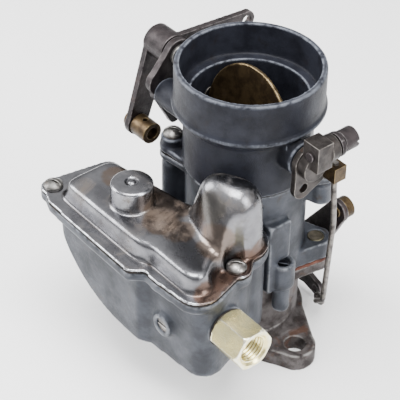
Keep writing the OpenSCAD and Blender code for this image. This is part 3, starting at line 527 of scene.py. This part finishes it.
def lathe(name, profile, centre, steps=72):
    """Turns (radius, height) points about Z. They start at the foot and end on the axis."""
    turned = bmesh.new()
    rings = []
    for radius, height in profile:
        ring = []
        for k in range(steps):
            a = 2 * math.pi * k / steps
            ring.append(turned.verts.new((radius * math.cos(a), radius * math.sin(a), height)))
        rings.append(ring)
    for low, high in zip(rings, rings[1:]):
        for k in range(steps):
            j = (k + 1) % steps
            turned.faces.new((low[k], low[j], high[j], high[k]))
    turned.faces.new(rings[0][::-1])
    bmesh.ops.remove_doubles(turned, verts=turned.verts, dist=1e-4)
    bmesh.ops.recalc_face_normals(turned, faces=turned.faces)
    turned.transform(Matrix.Scale(MM, 4) @ Matrix.Translation(centre))
    mesh = bpy.data.meshes.new(name)
    turned.to_mesh(mesh)
    turned.free()
    return put(name, mesh)


def rounded(profile, radius=0.5, steps=4):
    """Rounds every corner of a profile between its two ends."""
    points = [Vector(p) for p in profile]
    out = [points[0]]
    for before, here, after in zip(points, points[1:], points[2:]):
        out += eased_corner(before, here, after, radius, steps)
    return [tuple(p) for p in out + [points[-1]]]


# %% The cap on the cover
cap_low, cap_high = span("cover_cap")
cap_r = (cap_high.x - cap_low.x) / 2
cap_top = cap_high.z - PLATEAU
cap_side = [(cap_r + 1.3, -0.3), (cap_r + 0.5, 0.1), (cap_r - 0.1, 0.7), (cap_r - 0.3, cap_top - 1.0),
            (cap_r - 1.1, cap_top - 0.35)]
cap_dimple = [(2.9, cap_top - 0.1), (2.3, cap_top - 0.5), (1.5, cap_top - 0.6), (1.1, cap_top - 0.1),
              (0.0, cap_top)]
cap = lathe("cover_cap_pressed", rounded(cap_side + cap_dimple, 0.6), (*CAP, PLATEAU))
dress(cap, "casting", "cover_steel", "cover_cap", coat=COVER_FINISH)
print("cap:", round(cap_r, 2), "mm radius,", round(cap_top, 2), "mm tall")

# %% [markdown]
# ## The fuel inlet
# The inlet is a brass hexagon with turned chamfers and a thread inside. The chamfers come from
# cutting a hexagonal bar with two cones, which is just a lower radius where the bar's corners pass the cone.
# The thread is a real helix: each point of the bore moves in and out as the thread passes it.

# %% Hexagon with chamfers and a helical thread
hex_low, hex_high = span("inlet_fitting")
HEX_LEN = 15.5
HEX_X0 = hex_high.x - HEX_LEN
HEX_AF = 16.0  # across the flats
INLET = (HEX_X0, -46.0, (hex_low.z + hex_high.z) / 2)
THREAD_PITCH = 1.4
THREAD_DEPTH = 0.65
THREAD_RINGS = 96
BORE_R = 5.9
BORE_DEPTH = 11.0
MOUTH = 0.9  # chamfer at the mouth of the bore
PASSAGE_R = 2.6
NECK_R = 5.0
NECK_LEN = 8.0


def hex_radius(a):
    """Distance from the axis to a hexagon's side, seen at an angle."""
    return HEX_AF / 2 / math.cos((a + math.pi / 6) % (math.pi / 3) - math.pi / 6)


def inlet(steps=144):
    """The fitting as rings of (radius, height): up the outside, then down the bore and out to the neck."""
    made = bmesh.new()
    rings = []
    for z in (0.0, 0.05, 0.5, 1.0, 1.6, 4, 8, 12, 13.9, 14.5, 15.0, 15.4):
        cone = HEX_AF * 0.515 + min(z, HEX_LEN - z) * 1.15
        rings.append([(min(hex_radius(2 * math.pi * k / steps), cone), z) for k in range(steps)])
    rings.append([(7.2, HEX_LEN)] * steps)
    rings.append([(BORE_R + MOUTH, HEX_LEN)] * steps)
    rings.append([(BORE_R + 0.1, HEX_LEN - MOUTH)] * steps)
    for i in range(1, THREAD_RINGS):
        z = HEX_LEN - MOUTH - i * (BORE_DEPTH - 1.2) / THREAD_RINGS
        ring = []
        for k in range(steps):
            climb = (z / THREAD_PITCH + k / steps) % 1
            ring.append((BORE_R - THREAD_DEPTH * (1 - abs(2 * climb - 1)) ** 0.8, z))
        rings.append(ring)
    rings.append([(4.6, HEX_LEN - BORE_DEPTH)] * steps)
    rings.append([(PASSAGE_R, HEX_LEN - BORE_DEPTH - 0.8)] * steps)
    rings.append([(PASSAGE_R, -NECK_LEN)] * steps)
    rings.append([(NECK_R, -NECK_LEN)] * steps)
    rings.append([(NECK_R, 0.0)] * steps)
    angles = [2 * math.pi * k / steps for k in range(steps)]
    verts = [[made.verts.new((r * math.cos(a), r * math.sin(a), z)) for a, (r, z) in zip(angles, ring)]
             for ring in rings]
    for low, high in zip(verts, verts[1:] + verts[:1]):
        for k in range(steps):
            j = (k + 1) % steps
            made.faces.new((low[k], low[j], high[j], high[k]))
    bmesh.ops.recalc_face_normals(made, faces=made.faces)
    made.transform(Matrix.Scale(MM, 4) @ Matrix.Translation(INLET) @ Matrix.Rotation(math.pi / 2, 4, "Y"))
    mesh = bpy.data.meshes.new("inlet")
    made.to_mesh(mesh)
    made.free()
    return put("fuel_inlet_fitting", mesh)


fitting = dress(inlet(), "casting", "pale_brass", "inlet_fitting")
fitting.data.set_sharp_from_angle(angle=math.radians(35))
print("inlet hexagon from x", round(HEX_X0, 1), "to", round(hex_high.x, 1))

# %% [markdown]
# ## Wire pieces
# The link rod and the two springs are bent wire. A curve with a round bevel is the natural tool, because
# the wire keeps its thickness round every bend. The rod's corners are short arcs, since real wire never
# turns on a point.

# %% Wire along points
def wire(name, points, radius, round_corner=0.0, steps=8):
    """A round wire through points, in millimetres, with its corners eased."""
    path = [Vector(p) for p in points]
    eased = [path[0]]
    for before, here, after in zip(path, path[1:], path[2:]):
        if round_corner:
            eased += eased_corner(before, here, after, round_corner, steps)
        else:
            eased.append(here)
    eased.append(path[-1])
    line = bpy.data.curves.new(name, "CURVE")
    line.dimensions = "3D"
    line.bevel_depth = radius * MM
    line.bevel_resolution = 4
    line.use_fill_caps = True
    spline = line.splines.new("POLY")
    spline.points.add(len(eased) - 1)
    for at, p in zip(spline.points, eased):
        at.co = (*(p * MM), 1)
    bent = put(name + " line", line)
    mesh = bpy.data.meshes.new_from_object(bent.evaluated_get(bpy.context.evaluated_depsgraph_get()))
    bpy.data.objects.remove(bent)
    return put(name, mesh)


def coil(name, start, end, radius, wire_radius, turns, steps=20):
    """A spring between two points, its turns closer together at both ends and in the middle."""
    a, b = Vector(start), Vector(end)
    along = (b - a).normalized()
    side = along.orthogonal().normalized()
    other = along.cross(side)
    points = []
    for i in range(int(turns * steps) + 1):
        t = i / (turns * steps)
        spread = t - 0.045 * math.sin(4 * math.pi * t)
        turn = 2 * math.pi * turns * t
        points.append(a + (b - a) * spread + radius * (side * math.cos(turn) + other * math.sin(turn)))
    return wire(name, points, wire_radius)


# %% Link rod and springs
swivel_low, swivel_high = span("link_swivel")
rod_low, rod_high = span("link_rod")
clip_low, clip_high = span("link_clip")
LINK_R = 1.2
link_x = rod_high.x - LINK_R
link_y = (swivel_low.y + swivel_high.y) / 2
foot = ((clip_low.x + clip_high.x) / 2, 22.6, (clip_low.z + clip_high.z) / 2)
rod_route = [(link_x, link_y, rod_high.z - 0.2), (link_x, link_y, rod_high.z - 10.4), (36, 14.6, 66),
             (28.5, 20, 16), foot, (foot[0], 27.4, foot[2])]
rod = wire("choke_link_rod", rod_route, LINK_R, 2.4)
dress(rod, "link", "grey_steel", "link_rod")
needle_low, needle_high = span("idle_needle")
needle_z = (needle_low.z + needle_high.z) / 2
idle_coil = coil("idle_needle_spring", (-37.2, -6, needle_z), (-31.3, -6, needle_z),
                 2.35, 0.42, 5)
dress(idle_coil, node_body("idle_spring"), "screw_steel", "idle_spring")
stop_low, stop_high = span("stop_screw")
stop_x = (stop_low.x + stop_high.x) / 2
stop_y = (stop_low.y + stop_high.y) / 2
stop_coil = coil("stop_screw_spring", (stop_x, stop_y, stop_high.z - 5.0),
                 (stop_x, stop_y, stop_high.z - 2.9), 2.2, 0.35, 3)
dress(stop_coil, "stop_screw", "screw_steel")
print("wire pieces:", len(rod.data.polygons), len(idle_coil.data.polygons), len(stop_coil.data.polygons))

# %% [markdown]
# ## Levers, screws and small fittings
# The levers are blanked from strip and the screws are headed from wire, so all of them have slightly
# rolled edges that catch the light. One loop softens each from its CAD solid, with a voxel to suit its size.

# %% Small pieces
SMALL = {
    "body_gasket": 0.4, "horn_gasket": 0.35, "body_screws": 0.3, "horn_screws": 0.2,
    "cover_screws": 0.18, "passage_plug": 0.2, "bowl_plug": 0.2, "throttle_shaft": 0.35,
    "throttle_valve": 0.4, "throttle_lever": 0.35, "throttle_swivel": 0.22, "stop_screw": 0.18,
    "pump_lever": 0.3, "choke_shaft": 0.3, "choke_valve": 0.45, "choke_valve_screws": 0.2,
    "choke_lever": 0.25, "choke_block": 0.25, "choke_clamp_screw": 0.22, "link_swivel": 0.2,
    "link_clip": 0.18, "crank_bracket": 0.3, "bracket_screw": 0.18, "crank_stud": 0.25,
    "bellcrank": 0.3, "crank_swivel": 0.22, "inlet_gasket": 0.3, "idle_needle": 0.18,
    "booster_venturi": 0.3, "cover_gasket": 0.4}
small = {node: soften(node, voxel, 3) for node, voxel in SMALL.items()}
print("small pieces:", len(small), "with", sum(len(o.data.polygons) for o in small.values()), "faces")

# %% [markdown]
# ## What is inside
# The float, jets, needle and pump linkage are hidden behind the castings, but they still show in a cutaway
# view, so each CAD solid that stays gets the finish its slot names.

# %% Finishes on the CAD solids that stay
stood_for = {n for o in scene.objects if "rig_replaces" in o for n in o["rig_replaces"]}
inside = [n for n in frame["nodes"] if n not in stood_for]
for node in inside:
    mesh = frame["nodes"][node].data
    mesh.materials.clear()
    mesh.materials.append(FINISH[SLOT[node]])
print("kept CAD solids:", ", ".join(sorted(inside)))

# %% [markdown]
# ## Floor, light and camera
# A product picture needs a floor with no horizon, one large soft light overhead and two weaker ones to open
# the shadows. Shiny steel mirrors its surroundings, so the sky is brighter overhead than at the horizon:
# that gives the stamped cover its dark and bright bands.

# %% Floor
def floor_finish():
    made = bpy.data.materials.new("matt white floor")
    made.use_nodes = True
    tree = made.node_tree
    shader = tree.nodes["Principled BSDF"]
    place = add_node(tree, "ShaderNodeTexCoord").outputs["Object"]
    grain = patches(tree, place, 0.4, 3)
    tone = blend_colour(tree, grain, (0.96, 0.96, 0.96), (0.99, 0.99, 0.99))
    tree.links.new(tone, shader.inputs["Base Color"])
    shader.inputs["Roughness"].default_value = 0.9
    return made


sheet_mesh = bmesh.new()
bmesh.ops.create_grid(sheet_mesh, x_segments=8, y_segments=8, size=3.0)
floor_data = bpy.data.meshes.new("floor")
sheet_mesh.to_mesh(floor_data)
sheet_mesh.free()
floor = put("floor", floor_data)
floor.data.materials.append(floor_finish())

# %% Sky
world = bpy.data.worlds.new("studio sky")
scene.world = world
world.use_nodes = True
sky = world.node_tree
up = add_node(sky, "ShaderNodeTexCoord").outputs["Generated"]
height = add_node(sky, "ShaderNodeSeparateXYZ", {0: up}).outputs["Z"]
glow = ramp(sky, height, -0.05, 0.75)
shade = blend_colour(sky, glow, (0.30, 0.30, 0.31), (1.25, 1.25, 1.25))
backdrop = sky.nodes["Background"]
sky.links.new(shade, backdrop.inputs["Color"])
backdrop.inputs["Strength"].default_value = 1.0


# %% Lights
def lamp(name, place, size, power, target=(0, -15, 65)):
    light = bpy.data.lights.new(name, "AREA")
    light.shape, light.size, light.size_y, light.energy = "RECTANGLE", size[0], size[1], power
    made = bpy.data.objects.new(name, light)
    scene.collection.objects.link(made)
    made.location = Vector(place) * MM
    aim = Vector(target) * MM - made.location
    made.rotation_euler = aim.to_track_quat("-Z", "Y").to_euler()
    return made


lamp("overhead softbox", (60, -120, 720), (0.5, 0.35), 10)
lamp("left softbox", (-520, -420, 420), (0.35, 0.5), 8)
lamp("right softbox", (560, 120, 420), (0.3, 0.5), 4.5)

# %% Camera
camera_data = bpy.data.cameras.new("camera")
camera = bpy.data.objects.new("camera", camera_data)
scene.collection.objects.link(camera)
RIGHT = Vector((0.6325, 0.7746, 0.0122))
UP = Vector((-0.4946, 0.3916, 0.7760))
BACK = Vector((0.5962, -0.4967, 0.6307))
EYE = Vector((359.0, -323.0, 453.8))
turned_to = Matrix((RIGHT, UP, BACK)).transposed().to_4x4()
camera.matrix_world = Matrix.Translation(EYE * MM) @ turned_to
camera_data.sensor_width = 36.0
camera_data.lens = 138.3
camera_data.clip_start = 0.05
camera_data.clip_end = 10.0
scene.camera = camera
print("camera at", [round(c, 3) for c in camera.location])
